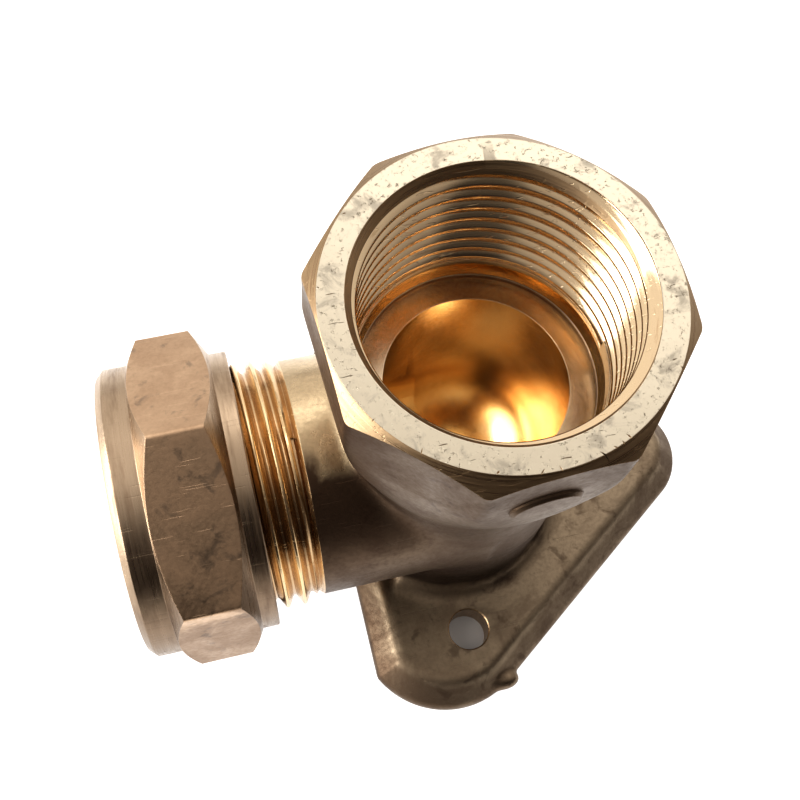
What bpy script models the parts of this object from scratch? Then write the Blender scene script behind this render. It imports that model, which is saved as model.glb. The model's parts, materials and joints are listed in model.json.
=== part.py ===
"""Wall-plate elbow: a brass pipe fitting that turns a water pipe away from a wall.

A forged body stands on a three-hole wall plate.  Its threaded octagonal socket faces away
from the wall (+Z) and its compression outlet points along -X, where a hexagon nut clamps an
olive round a copper tube.  The origin is the middle of the plate's wall face, on the axis of
the socket.  Lengths are in millimetres and are scaled to metres where meshes are made.
"""

import math

import bmesh
import bpy
from mathutils import Matrix

MM = 0.001

# Standard sizes that everything else is built round.
THREAD_MAJOR_R = 13.22
THREAD_MINOR_R = 12.06
TURNING_GAP = 0.33

# Heights above the wall.
PLATE_THICKNESS = 4.0
OUTLET_AXIS_Z = 19.0
SHOULDER_Z = 36.0
COLLAR_BOTTOM_Z = 46.6
SOCKET_FACE_Z = 54.0

# Socket: octagonal collar, threaded bore and the waterway below it.
OCTAGON_FLAT_R = 15.2
OCTAGON_CORNER_R = OCTAGON_FLAT_R / math.cos(math.pi / 8)
OCTAGON_CORNER_DEG = 160.5
FACE_CHAMFER_R = 15.3
BORE_CHAMFER_R = 13.15
WATERWAY_R = 9.0
CROSS_BORE_R = 8.6
BODY_R = 12.4

# Outlet: distances along its axis, measured outwards from the socket's axis.
TUBE_SOCKET_R = 11.15
TUBE_STOP_U = 14.0
THREAD_START_U = 17.4
MOUTH_U = 27.0
NECK_R = 12.6
SEAT_R = 12.0

# Nut: its ends along the outlet's axis and its turned and hexagonal outline.
NUT_INNER_U = 22.6
NUT_OUTER_U = 36.0
NUT_HEX_INNER_U = 24.35
NUT_HEX_OUTER_U = 32.8
NUT_END_WALL = 1.75
NUT_FLAT_R = 15.25
NUT_CORNER_R = NUT_FLAT_R / math.cos(math.pi / 6)
NUT_CORNER_DEG = 3.5
NUT_COLLAR_R = 15.1
NUT_RING_R = 14.7
NUT_BORE_R = THREAD_MAJOR_R + TURNING_GAP
NUT_HOLE_R = 11.25

# Olive.
OLIVE_INNER_U = 27.0
OLIVE_OUTER_U = 33.5
OLIVE_R = 12.35
OLIVE_END_R = 11.45
OLIVE_BORE_R = 11.05

# Wall plate: two lobes beside the outlet and one opposite it.
SIDE_LOBE = (-3.6, 15.3)
SIDE_LOBE_R = 10.2
FAR_LOBE = (23.4, 0.0)
FAR_LOBE_R = 7.0
LOBE_TANGENT_DEG = 54.0
PLATE_BACK_X = -12.7
PLATE_LAND = 1.3
PLATE_BEVEL = 2.7
SCREW_HOLES = ((-1.4, 17.4), (-1.4, -17.4), (22.6, 0.0))
SCREW_HOLE_R = 2.3

# Oval pad on the socket's flat that faces away from the plate's third lobe.
PAD_DEG = -87.0
PAD_CENTRE_Z = 46.0
PAD_SIZE = (3.2, 2.2)
PAD_PROUD = 0.4

SEGMENTS = 64
OVERSHOOT = 1.0

# A turned piece on the outlet's axis is drawn upright, then laid over so that +Z becomes -X.
OUTLET_PLACE = Matrix.Translation((0.0, 0.0, OUTLET_AXIS_Z * MM)) @ Matrix.Rotation(-math.pi / 2, 4, "Y")


def clear_scene():
    for item in list(bpy.data.objects):
        bpy.data.objects.remove(item, do_unlink=True)


def new_collection(name):
    collection = bpy.data.collections.new(name)
    bpy.context.scene.collection.children.link(collection)
    return collection


def brass(name, colour, roughness):
    material = bpy.data.materials.new(name)
    material.use_nodes = True
    shader = material.node_tree.nodes["Principled BSDF"]
    shader.inputs["Base Color"].default_value = (*colour, 1.0)
    shader.inputs["Metallic"].default_value = 1.0
    shader.inputs["Roughness"].default_value = roughness
    return material


def add_object(name, mesh, collection, place=None):
    item = bpy.data.objects.new(name, mesh)
    collection.objects.link(item)
    if place is not None:
        item.matrix_world = place
    return item


def hide_guide(item):
    item.hide_render = True
    item.display_type = "WIRE"


def turned(name, profile, collection, place=None):
    """A solid of revolution about local Z from (radius, height) points, top to bottom."""
    mesh = bpy.data.meshes.new(name)
    points = [(radius * MM, 0.0, height * MM) for radius, height in profile]
    closed = profile[0][0] > 0.0
    edges = [(i, i + 1) for i in range(len(points) - 1)]
    if closed:
        edges.append((len(points) - 1, 0))
    mesh.from_pydata(points, edges, [])
    item = add_object(name, mesh, collection, place)
    screw = item.modifiers.new("Turn", "SCREW")
    screw.axis = "Z"
    screw.steps = SEGMENTS
    screw.render_steps = SEGMENTS
    screw.use_merge_vertices = True
    screw.merge_threshold = 0.00001
    screw.use_smooth_shade = False
    return item


def loft(name, rings, collection, place=None):
    """A closed solid through rings of equal point count, ordered from bottom to top."""
    mesh = bpy.data.meshes.new(name)
    build = bmesh.new()
    levels = [[build.verts.new([c * MM for c in point]) for point in ring] for ring in rings]
    count = len(levels[0])
    for lower, upper in zip(levels, levels[1:]):
        for i in range(count):
            j = (i + 1) % count
            build.faces.new((lower[i], lower[j], upper[j], upper[i]))
    build.faces.new(list(reversed(levels[0])))
    build.faces.new(levels[-1])
    build.to_mesh(mesh)
    build.free()
    return add_object(name, mesh, collection, place)


def combine(item, other, operation):
    step = item.modifiers.new(other.name, "BOOLEAN")
    step.operation = operation
    step.solver = "EXACT"
    step.object = other


def polygon_radius(angle, flat_radius, sides, corner_angle):
    """Distance from the centre of a regular polygon to its edge in the given direction."""
    sector = 2.0 * math.pi / sides
    offset = (angle - corner_angle) % sector - sector / 2.0
    return flat_radius / math.cos(offset)


def socket_ring(height, octagon_share, round_radius):
    """One level of the socket, between an octagon (share 1) and a circle (share 0)."""
    corner = math.radians(OCTAGON_CORNER_DEG)
    ring = []
    for step in range(SEGMENTS):
        angle = corner + 2.0 * math.pi * step / SEGMENTS
        octagon = polygon_radius(angle, OCTAGON_FLAT_R, 8, corner)
        radius = octagon_share * octagon + (1.0 - octagon_share) * round_radius
        ring.append((radius * math.cos(angle), radius * math.sin(angle), height))
    return ring


def socket_blank(parts, cutters):
    """The upright barrel: round at the plate and swelling into the octagonal collar."""
    levels = (
        (PLATE_THICKNESS / 2.0, 0.0, BODY_R),
        (OUTLET_AXIS_Z + 7.0, 0.0, BODY_R),
        (OUTLET_AXIS_Z + 12.0, 0.0, 13.1),
        (OUTLET_AXIS_Z + 16.5, 0.15, 14.2),
        (OUTLET_AXIS_Z + 22.0, 0.65, 14.9),
        (COLLAR_BOTTOM_Z, 1.0, 0.0),
        (SOCKET_FACE_Z, 1.0, 0.0),
    )
    blank = loft("body", [socket_ring(*level) for level in levels], parts)
    slope = OCTAGON_CORNER_R - FACE_CHAMFER_R + OVERSHOOT
    envelope = (
        (0.0, SOCKET_FACE_Z),
        (FACE_CHAMFER_R, SOCKET_FACE_Z),
        (FACE_CHAMFER_R + slope, SOCKET_FACE_Z - slope),
        (FACE_CHAMFER_R + slope, 0.0),
        (0.0, 0.0),
    )
    chamfer = turned("collar_chamfer", envelope, cutters)
    hide_guide(chamfer)
    combine(blank, chamfer, "INTERSECT")
    return blank


def outlet_neck(cutters):
    """The outlet's outside: a neck and the crest cylinder of the male thread."""
    lead_in = THREAD_MAJOR_R - OLIVE_R
    profile = (
        (0.0, MOUTH_U),
        (OLIVE_R, MOUTH_U),
        (THREAD_MAJOR_R, MOUTH_U - lead_in),
        (THREAD_MAJOR_R, THREAD_START_U),
        (NECK_R, THREAD_START_U - 0.4),
        (NECK_R, 12.0),
        (BODY_R - 0.3, 0.0),
        (0.0, 0.0),
    )
    neck = turned("outlet_neck", profile, cutters, OUTLET_PLACE)
    hide_guide(neck)
    return neck


def arc(centre, radius, start_deg, end_deg, count):
    points = []
    for step in range(count):
        angle = math.radians(start_deg + (end_deg - start_deg) * step / (count - 1))
        points.append((centre[0] + radius * math.cos(angle), centre[1] + radius * math.sin(angle)))
    return points


def plate_ring(height, inset):
    """The plate's outline, drawn in by the inset, at one height."""
    side_radius = SIDE_LOBE_R - inset
    back_x = PLATE_BACK_X + inset
    corner_deg = math.degrees(math.acos((back_x - SIDE_LOBE[0]) / side_radius))
    left_lobe = arc(SIDE_LOBE, side_radius, LOBE_TANGENT_DEG, corner_deg, 15)
    right_lobe = [(x, -y) for x, y in reversed(left_lobe)]
    far_lobe = arc(FAR_LOBE, FAR_LOBE_R - inset, -LOBE_TANGENT_DEG, LOBE_TANGENT_DEG, 15)
    return [(x, y, height) for x, y in far_lobe + left_lobe + right_lobe]


def wall_plate(cutters):
    rings = [
        plate_ring(0.0, 0.0),
        plate_ring(PLATE_LAND, 0.0),
        plate_ring(PLATE_THICKNESS, PLATE_BEVEL),
    ]
    plate = loft("wall_plate", rings, cutters)
    hide_guide(plate)
    return plate


def socket_pad(cutters):
    """A small raised oval on one flat of the collar, where a forging carries its marks."""
    pad = bpy.data.meshes.new("socket_pad")
    build = bmesh.new()
    depth = 3.0
    bmesh.ops.create_cone(
        build, cap_ends=True, segments=24, radius1=MM, radius2=MM, depth=depth * MM,
        matrix=Matrix.Translation((0.0, 0.0, -depth * MM / 2.0)),
    )
    build.to_mesh(pad)
    build.free()
    angle = math.radians(PAD_DEG)
    distance = OCTAGON_FLAT_R + PAD_PROUD
    spot = (distance * math.cos(angle) * MM, distance * math.sin(angle) * MM, PAD_CENTRE_Z * MM)
    face = Matrix.Rotation(angle, 4, "Z") @ Matrix.Rotation(math.pi / 2, 4, "Y")
    oval = Matrix.Diagonal((PAD_SIZE[1], PAD_SIZE[0], 1.0, 1.0))
    pad.transform(oval)
    item = add_object("socket_pad", pad, cutters, Matrix.Translation(spot) @ face)
    hide_guide(item)
    return item


def socket_bore(cutters):
    """Mouth chamfer, threaded bore, shoulder and the round-bottomed waterway."""
    mouth = BORE_CHAMFER_R + OVERSHOOT
    bottom = [
        (WATERWAY_R * math.cos(math.radians(a)), OUTLET_AXIS_Z - WATERWAY_R * math.sin(math.radians(a)))
        for a in range(0, 90, 15)
    ]
    profile = [
        (0.0, SOCKET_FACE_Z + OVERSHOOT),
        (mouth, SOCKET_FACE_Z + OVERSHOOT),
        (THREAD_MINOR_R, SOCKET_FACE_Z + THREAD_MINOR_R - BORE_CHAMFER_R),
        (THREAD_MINOR_R, SHOULDER_Z),
        (WATERWAY_R, SHOULDER_Z),
        *bottom,
        (0.0, OUTLET_AXIS_Z - WATERWAY_R),
    ]
    bore = turned("socket_bore", profile, cutters)
    hide_guide(bore)
    return bore


def outlet_bore(cutters):
    """Olive seat, tube socket with its stop, and the cross waterway."""
    profile = (
        (0.0, MOUTH_U + OVERSHOOT),
        (SEAT_R + OVERSHOOT, MOUTH_U + OVERSHOOT),
        (TUBE_SOCKET_R, MOUTH_U - SEAT_R + TUBE_SOCKET_R),
        (TUBE_SOCKET_R, TUBE_STOP_U),
        (CROSS_BORE_R, TUBE_STOP_U),
        (CROSS_BORE_R, 0.0),
        (0.0, 0.0),
    )
    bore = turned("outlet_bore", profile, cutters, OUTLET_PLACE)
    hide_guide(bore)
    return bore


def screw_hole(index, centre, cutters):
    height = PLATE_THICKNESS + 2.0 * OVERSHOOT
    profile = (
        (0.0, height),
        (SCREW_HOLE_R, height),
        (SCREW_HOLE_R, -OVERSHOOT),
        (0.0, -OVERSHOOT),
    )
    place = Matrix.Translation((centre[0] * MM, centre[1] * MM, 0.0))
    hole = turned(f"screw_hole_{index}", profile, cutters, place)
    hide_guide(hole)
    return hole


def make_body(parts, cutters):
    body = socket_blank(parts, cutters)
    for addition in (outlet_neck(cutters), wall_plate(cutters), socket_pad(cutters)):
        combine(body, addition, "UNION")
    for cut in (socket_bore(cutters), outlet_bore(cutters)):
        combine(body, cut, "DIFFERENCE")
    for index, centre in enumerate(SCREW_HOLES, start=1):
        combine(body, screw_hole(index, centre, cutters), "DIFFERENCE")
    body.data.materials.append(brass("forged_brass", (0.47, 0.36, 0.22), 0.45))
    return body


def nut_profile():
    """Turned outline and bore of the nut, whose hexagon is cut from the widest part."""
    blank_r = NUT_CORNER_R + 0.2
    chamfer_slope = math.tan(math.radians(30.0))
    outer_chamfer = (blank_r - NUT_COLLAR_R) * chamfer_slope
    inner_chamfer = (blank_r - NUT_RING_R) * chamfer_slope
    cone = NUT_BORE_R - NUT_HOLE_R
    cone_end_u = NUT_OUTER_U - NUT_END_WALL
    return (
        (NUT_COLLAR_R - 0.8, NUT_OUTER_U),
        (NUT_COLLAR_R, NUT_OUTER_U - 0.6),
        (NUT_COLLAR_R, NUT_HEX_OUTER_U),
        (blank_r, NUT_HEX_OUTER_U - outer_chamfer),
        (blank_r, NUT_HEX_INNER_U + inner_chamfer),
        (NUT_RING_R, NUT_HEX_INNER_U),
        (NUT_RING_R, NUT_INNER_U + 0.2),
        (NUT_RING_R - 0.2, NUT_INNER_U),
        (NUT_BORE_R + 0.5, NUT_INNER_U),
        (NUT_BORE_R, NUT_INNER_U + 0.5),
        (NUT_BORE_R, cone_end_u - cone),
        (NUT_HOLE_R, cone_end_u),
        (NUT_HOLE_R, NUT_OUTER_U),
    )


def make_nut(parts, cutters):
    nut = turned("compression_nut", nut_profile(), parts, OUTLET_PLACE)
    prism = bpy.data.meshes.new("nut_hexagon")
    build = bmesh.new()
    length = (NUT_OUTER_U - NUT_INNER_U + 2.0 * OVERSHOOT) * MM
    middle = (NUT_OUTER_U + NUT_INNER_U) / 2.0 * MM
    radius = NUT_CORNER_R * MM
    first_corner_deg = 90.0
    turn = Matrix.Rotation(math.radians(NUT_CORNER_DEG - first_corner_deg), 4, "Z")
    bmesh.ops.create_cone(
        build, cap_ends=True, segments=6, radius1=radius, radius2=radius, depth=length,
        matrix=turn @ Matrix.Translation((0.0, 0.0, middle)),
    )
    build.to_mesh(prism)
    build.free()
    hexagon = add_object("nut_hexagon", prism, cutters, OUTLET_PLACE)
    hide_guide(hexagon)
    combine(nut, hexagon, "INTERSECT")
    nut.data.materials.append(brass("turned_brass", (0.55, 0.42, 0.25), 0.35))
    return nut


def make_olive(parts):
    slope = OLIVE_R - OLIVE_END_R
    profile = (
        (OLIVE_END_R, OLIVE_OUTER_U),
        (OLIVE_R, OLIVE_OUTER_U - slope),
        (OLIVE_R, OLIVE_INNER_U + slope),
        (OLIVE_END_R, OLIVE_INNER_U),
        (OLIVE_BORE_R, OLIVE_INNER_U),
        (OLIVE_BORE_R, OLIVE_OUTER_U),
    )
    olive = turned("olive", profile, parts, OUTLET_PLACE)
    olive.data.materials.append(brass("soft_brass", (0.66, 0.5, 0.26), 0.3))
    return olive


def main():
    clear_scene()
    parts = new_collection("wall_plate_elbow")
    cutters = new_collection("cutters")
    make_body(parts, cutters)
    make_nut(parts, cutters)
    make_olive(parts)


main()
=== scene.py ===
"""Looks of the brass wall-plate elbow: its fine surfaces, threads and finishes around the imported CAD.

Shapes are worked out in millimetres in the row frame and scaled to metres where meshes are made.
"Height" is along the socket's axis above the wall, "rise" is height above the outlet's axis, and
"reach" is the distance along the outlet's axis from the socket's axis.
"""

import json
import math

import bmesh
import bpy
import numpy as np
from mathutils import Euler, Matrix, Vector


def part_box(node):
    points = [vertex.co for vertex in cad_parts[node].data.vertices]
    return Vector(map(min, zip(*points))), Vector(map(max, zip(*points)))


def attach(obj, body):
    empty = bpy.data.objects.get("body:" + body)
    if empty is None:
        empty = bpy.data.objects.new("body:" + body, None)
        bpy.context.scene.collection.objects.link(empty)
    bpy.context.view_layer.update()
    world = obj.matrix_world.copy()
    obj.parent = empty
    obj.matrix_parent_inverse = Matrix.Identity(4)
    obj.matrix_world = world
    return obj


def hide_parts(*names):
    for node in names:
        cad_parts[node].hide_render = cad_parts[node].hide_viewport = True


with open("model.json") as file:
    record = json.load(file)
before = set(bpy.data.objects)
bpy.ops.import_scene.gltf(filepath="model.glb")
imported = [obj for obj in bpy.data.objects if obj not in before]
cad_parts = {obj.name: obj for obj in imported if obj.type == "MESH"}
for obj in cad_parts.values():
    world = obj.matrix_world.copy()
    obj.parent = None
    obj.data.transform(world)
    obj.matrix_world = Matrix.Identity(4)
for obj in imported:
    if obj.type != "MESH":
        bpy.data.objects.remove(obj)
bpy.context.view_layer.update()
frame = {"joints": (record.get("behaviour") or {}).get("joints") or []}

MM = 0.001

# ---------------------------------------------------------------- sizes

BODY_LOW, BODY_HIGH = (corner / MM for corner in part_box("body"))
NUT_LOW, NUT_HIGH = (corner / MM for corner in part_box("compression_nut"))
OLIVE_LOW, OLIVE_HIGH = (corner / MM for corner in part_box("olive"))
NUT_JOINT = next(joint for joint in frame["joints"] if joint["name"] == "nut_turn")

AXIS_HEIGHT = NUT_JOINT["pos_m"][2] / MM
FACE_HEIGHT = BODY_HIGH.z
FACE_RISE = FACE_HEIGHT - AXIS_HEIGHT
MOUTH_REACH = -BODY_LOW.x
PLATE_EDGE_Y = BODY_HIGH.y
PLATE_TIP_X = BODY_HIGH.x
NUT_INNER_REACH = -NUT_HIGH.x
NUT_OUTER_REACH = -NUT_LOW.x
NUT_CORNER_R = (NUT_HIGH.z - NUT_LOW.z) / 2.0 / math.cos(math.radians(3.5))

# G 3/4 thread.
PITCH = 25.4 / 14.0
THREAD_MAJOR_R = 13.22
THREAD_MINOR_R = THREAD_MAJOR_R - 0.6403 * PITCH
THREAD_MIDDLE_R = (THREAD_MAJOR_R + THREAD_MINOR_R) / 2.0
THREAD_HALF_DEPTH = (THREAD_MAJOR_R - THREAD_MINOR_R) / 2.0
THREAD_SHARPNESS = 1.5
THREAD_ROUNDING = 0.3
# Where the grid lines of one pitch lie, closest together over the rounded crest and root.
THREAD_PHASES = (0.0, 0.045, 0.085, 0.12, 0.25, 0.38, 0.415, 0.455,
                 0.5, 0.545, 0.585, 0.62, 0.75, 0.88, 0.915, 0.955)
THREAD_ROWS = len(THREAD_PHASES)
MALE_PHASE_REACH = 0.117

# Socket.
OCTAGON_FIRST_FLAT_DEG = 183.0
# The forging's eight flats aren't quite alike: the two on the near side stand furthest out.
OCTAGON_FLATS_R = (15.4, 15.75, 15.8, 15.5, 15.4, 15.45, 15.6, 15.6)
OCTAGON_EDGE = 0.35
FACE_CHAMFER_R = 15.32
FACE_CHAMFER_SLOPE = 0.85
MOUTH_CHAMFER_R = 13.05
SHOULDER_RISE = FACE_RISE - 17.98
SHOULDER_R = 11.58
BAND_TOP_RISE = 19.2
BAND_END_RISE = SHOULDER_RISE + 0.4
WATERWAY_R = 9.0
BARREL_R = 12.4
CONE_START_RISE = 10.7
CONE_SLOPE = 0.3
LEFT_FLAT_EDGE_RISE = 27.6
LEFT_FLAT_UNDERCUT_DEG = 10.0
FEMALE_CREST_DEPTH = 1.99

# Outlet.
NECK_R = 12.62
NECK_END_REACH = 17.4
TUBE_SOCKET_R = 11.15
TUBE_STOP_REACH = 14.0
CROSS_BORE_R = 8.6

# Nut: a hexagon between an outer collar and an inner ring.
NUT_COLLAR_R = 15.15
NUT_RING_R = 14.7
NUT_HEX_INNER_REACH = NUT_INNER_REACH + 1.75
NUT_HEX_OUTER_REACH = NUT_OUTER_REACH - 3.2
NUT_HOLE_R = 11.25
NUT_FIRST_CORNER_DEG = 3.4
NUT_THREAD_GAP = 0.13

# Wall plate.
PLATE_THICKNESS = 4.0
PLATE_LAND = 1.3
PLATE_BACK_X = -12.7
SIDE_LOBE_R = 10.2
SIDE_LOBE = (-3.6, PLATE_EDGE_Y - SIDE_LOBE_R)
FAR_LOBE_R = 7.0
FAR_LOBE = (PLATE_TIP_X - FAR_LOBE_R, 0.0)
SCREW_HOLES = ((-1.4, 17.4), (-1.4, -17.4), (22.6, 0.0))
SCREW_HOLE_R = 2.3

# Oval pad, at a place along and up one flat of the socket, and a stub on the plate's rim.
PAD_FLAT = 2
PAD_PLACE = (-0.7, 28.3)
PAD_HALF_SIZE = (3.25, 2.25)
PAD_PROUD = 0.5
GATE_STUB = (1.6, -23.6, 1.2)
GATE_STUB_SIZE = (1.7, 1.1, 1.1)

# Short nicks that knocks have left in the edge of the socket's rim.
NICK_COUNT = 22
NICK_DEPTH = 0.16

GRID_STEP = 0.36
TURN_SEGMENTS = 224
THREAD_SEGMENTS = 168
SHARP_DEG = 32.0

# The socket's own frame stands on the outlet's axis; the outlet's frame has +Z along its reach.
SOCKET_PLACE = Matrix.Translation((0.0, 0.0, AXIS_HEIGHT * MM))
OUTLET_PLACE = SOCKET_PLACE @ Matrix.Rotation(-math.pi / 2.0, 4, "Y")


# ---------------------------------------------------------------- node materials

X, Y, Z = range(3)
# Colour the skins are darkened towards: partly oxidised skin, partly painted shade on sides that face away
# from the light.
OXIDE_AND_SHADE = (0.066, 0.034, 0.020)
FOOT_SHADE = (0.035, 0.022, 0.018)
# How far, in millimetres, the ragged edge of a darkened or lightened patch wanders.
MOST_RAGGED = 2.0


class Finish:
    """A metal's node material, built up from textures laid out in millimetres."""

    def __init__(self, name):
        self.material = bpy.data.materials.new(name)
        self.material.use_nodes = True
        self.tree = self.material.node_tree
        self.shader = self.tree.nodes["Principled BSDF"]
        self.shader.inputs["Metallic"].default_value = 1.0
        coordinates = self.tree.nodes.new("ShaderNodeTexCoord").outputs["Object"]
        self.place = self.vector("SCALE", coordinates, scale=1.0 / MM)

    def connect(self, target, source):
        """Link a socket, or set a plain number or colour."""
        if isinstance(source, bpy.types.NodeSocket):
            self.tree.links.new(source, target)
        elif isinstance(source, (tuple, list)) and target.type == "RGBA":
            target.default_value = (*source, 1.0)
        else:
            target.default_value = source

    def vector(self, operation, first, second=None, scale=None):
        node = self.tree.nodes.new("ShaderNodeVectorMath")
        node.operation = operation
        self.connect(node.inputs[0], first)
        if second is not None:
            self.connect(node.inputs[1], second)
        if scale is not None:
            self.connect(node.inputs["Scale"], scale)
        return node.outputs["Value"] if operation in ("LENGTH", "DOT_PRODUCT") else node.outputs["Vector"]

    def math(self, operation, first, second=0.0, third=None):
        node = self.tree.nodes.new("ShaderNodeMath")
        node.operation = operation
        self.connect(node.inputs[0], first)
        self.connect(node.inputs[1], second)
        if third is not None:
            self.connect(node.inputs[2], third)
        return node.outputs[0]

    def parts(self):
        """The place's X, Y and Z."""
        node = self.tree.nodes.new("ShaderNodeSeparateXYZ")
        self.connect(node.inputs[0], self.place)
        return node.outputs

    def joined(self, x, y, z):
        node = self.tree.nodes.new("ShaderNodeCombineXYZ")
        for socket, value in zip(node.inputs, (x, y, z)):
            self.connect(socket, value)
        return node.outputs[0]

    def turned_place(self, about_outlet):
        """(distance from the axis, turn about it in radians, distance along it)."""
        x, y, z = self.parts()
        if about_outlet:
            across, up, along = y, self.math("SUBTRACT", z, AXIS_HEIGHT), self.math("MULTIPLY", x, -1.0)
        else:
            across, up, along = x, y, z
        radius = self.vector("LENGTH", self.joined(across, up, 0.0))
        return radius, self.math("ARCTAN2", up, across), along

    def noise(self, scale, detail=3.0, roughness=0.55, distortion=0.0, vector=None):
        node = self.tree.nodes.new("ShaderNodeTexNoise")
        self.connect(node.inputs["Vector"], self.place if vector is None else vector)
        self.connect(node.inputs["Scale"], scale)
        self.connect(node.inputs["Detail"], detail)
        self.connect(node.inputs["Roughness"], roughness)
        self.connect(node.inputs["Distortion"], distortion)
        return node.outputs["Fac"]

    def stretched(self, turn_deg, stretch):
        """Texture coordinates drawn out along one direction, for scratches."""
        node = self.tree.nodes.new("ShaderNodeMapping")
        self.connect(node.inputs["Vector"], self.place)
        node.inputs["Rotation"].default_value = [math.radians(angle) for angle in turn_deg]
        node.inputs["Scale"].default_value = stretch
        return node.outputs[0]

    def between(self, value, low, high, out_low=0.0, out_high=1.0):
        """Value carried smoothly from one range to another, and held at its ends."""
        node = self.tree.nodes.new("ShaderNodeMapRange")
        node.interpolation_type = "SMOOTHSTEP"
        for index, number in enumerate((value, low, high, out_low, out_high)):
            self.connect(node.inputs[index], number)
        return node.outputs[0]

    def mix(self, share, first, second):
        node = self.tree.nodes.new("ShaderNodeMix")
        node.data_type = "RGBA"
        self.connect(node.inputs["Factor"], share)
        self.connect(node.inputs[6], first)
        self.connect(node.inputs[7], second)
        return node.outputs[2]

    def rounded_edges(self, radius):
        node = self.tree.nodes.new("ShaderNodeBevel")
        node.samples = 6
        node.inputs["Radius"].default_value = radius * MM
        return node.outputs[0]

    def bump(self, height, depth, normal=None):
        """Relief of a 0 to 1 height, with its depth in millimetres."""
        node = self.tree.nodes.new("ShaderNodeBump")
        self.connect(node.inputs["Height"], height)
        self.connect(node.inputs["Distance"], depth * MM)
        if normal is not None:
            self.connect(node.inputs["Normal"], normal)
        return node.outputs[0]

    def scratches(self, seed, density, fineness=1.0):
        """0 on clear metal and 1 in thin scratches, in two families that cross."""
        found = None
        for index, (turn, cut) in enumerate(((25.0, density), (-55.0, density * 0.75))):
            across = 2.6 * fineness
            lines = self.stretched((0.0, 0.0, turn + 13.0 * seed), (0.10 * fineness, across, across))
            moved = self.vector("ADD", lines, (7.3 * seed + 11.0 * index, 3.1 * seed, 5.7 * seed))
            streak = self.noise(1.0, detail=2.0, roughness=0.4, vector=moved)
            threshold = 0.5 + 0.22 * (1.0 - cut)
            family = self.between(streak, threshold, threshold + 0.035)
            found = family if found is None else self.math("MAXIMUM", found, family)
        return found

    def ragged_ramp(self, axis, start, end, share=1.0):
        """From 0 at one place on an axis to a share at another, with a ragged edge between them."""
        patches = self.noise(0.16, detail=4.0, roughness=0.6, distortion=0.6)
        ragged = self.between(patches, 0.3, 0.7, -1.0, 1.0)
        spread = min(MOST_RAGGED, abs(end - start) / 2.0)
        place = self.math("ADD", self.parts()[axis], self.math("MULTIPLY", ragged, spread))
        return self.between(place, start, end, 0.0, share)

    def finish(self, colour, roughness, normal):
        self.connect(self.shader.inputs["Base Color"], colour)
        self.connect(self.shader.inputs["Roughness"], roughness)
        self.connect(self.shader.inputs["Normal"], normal)
        return self.material


def forged_skin(name, light, dark, smudge, seed, roughness=(0.34, 0.52), oxide_and_shade=(), clean_reach=None,
                clean_lit_colour=None):
    """Dull hot-stamped brass: oxidised skin in soft patches, fine pits and handling scratches.

    Each darkening entry (axis, start, end, dark share) gives how the skin darkens from one place on an
    axis to another. clean_reach is given for the body only: beyond it the neck is cleaner, smoother metal,
    but its lighter colour is a painted highlight laid only off its -Y side, that -Y side is darkened as
    painted shade, and the socket's lowest part above the plate is darkened most of all as painted shade.
    """
    metal = Finish(name)
    patches = metal.noise(0.16, detail=4.0, roughness=0.6, distortion=0.6)
    grain = metal.noise(2.2, detail=4.0, roughness=0.65)
    colour = metal.mix(metal.between(patches, 0.36, 0.64), dark, light)
    spots = metal.noise(0.40 + 0.03 * seed, detail=4.0, roughness=0.6, distortion=0.5)
    spots = metal.between(spots, 0.56, 0.70)
    colour = metal.mix(metal.math("MULTIPLY", spots, 0.6), colour, smudge)
    speckle = metal.between(grain, 0.35, 0.75, 0.0, 0.22)
    colour = metal.mix(speckle, colour, tuple(channel * 0.55 for channel in dark))
    scratched = metal.scratches(seed, 0.1, fineness=1.8)
    bare = tuple(min(1.0, channel * 1.4) for channel in light)
    colour = metal.mix(metal.math("MULTIPLY", scratched, 0.15), colour, bare)
    for axis, start, end, share in oxide_and_shade:
        colour = metal.mix(metal.ragged_ramp(axis, start, end, share), colour, OXIDE_AND_SHADE)
    dulled = metal.between(patches, 0.3, 0.7, roughness[1], roughness[0])
    rough = metal.math("ADD", dulled, metal.between(grain, 0.3, 0.8, 0.0, 0.12))
    if clean_reach is not None:
        # Painted shade: the socket's lowest part, just above the plate, darkened to near black-brown as in
        # the shadow under it.
        foot = metal.math("MULTIPLY", metal.ragged_ramp(Z, 19.0, 11.0), metal.ragged_ramp(Z, 4.3, 6.5, 0.55))
        colour = metal.mix(foot, colour, FOOT_SHADE)
        near_outlet = metal.ragged_ramp(X, -clean_reach[0], -clean_reach[1])
        # Painted shade: the neck's -Y side darkened towards the dark colour, away from the light.
        near_side_shade = metal.math("MULTIPLY", near_outlet, metal.ragged_ramp(Y, -2.5, -5.5, 0.35))
        colour = metal.mix(near_side_shade, colour, OXIDE_AND_SHADE)
        # Partly real, partly painted highlight: cleaner, smoother metal on the neck, laid in a lighter
        # colour only off its -Y side, where the light falls.
        clean_and_lit = metal.math("MULTIPLY", near_outlet, metal.ragged_ramp(Y, -5.0, -2.0))
        clean_and_lit = metal.math("MULTIPLY", clean_and_lit, metal.ragged_ramp(Z, AXIS_HEIGHT + 16.0, AXIS_HEIGHT + 13.0))
        fresh_and_lit = metal.mix(metal.between(grain, 0.3, 0.75), clean_lit_colour, tuple(channel * 0.8 for channel in clean_lit_colour))
        colour = metal.mix(clean_and_lit, colour, fresh_and_lit)
        rough = metal.math("MULTIPLY", rough, metal.between(clean_and_lit, 0.0, 1.0, 1.0, 0.6))
    normal = metal.rounded_edges(0.16)
    normal = metal.bump(metal.noise(0.55, detail=3.0, roughness=0.5), 0.012, normal)
    normal = metal.bump(grain, 0.014, normal)
    normal = metal.bump(metal.math("MULTIPLY", scratched, -1.0), 0.01, normal)
    return metal.finish(colour, rough, normal)


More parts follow.
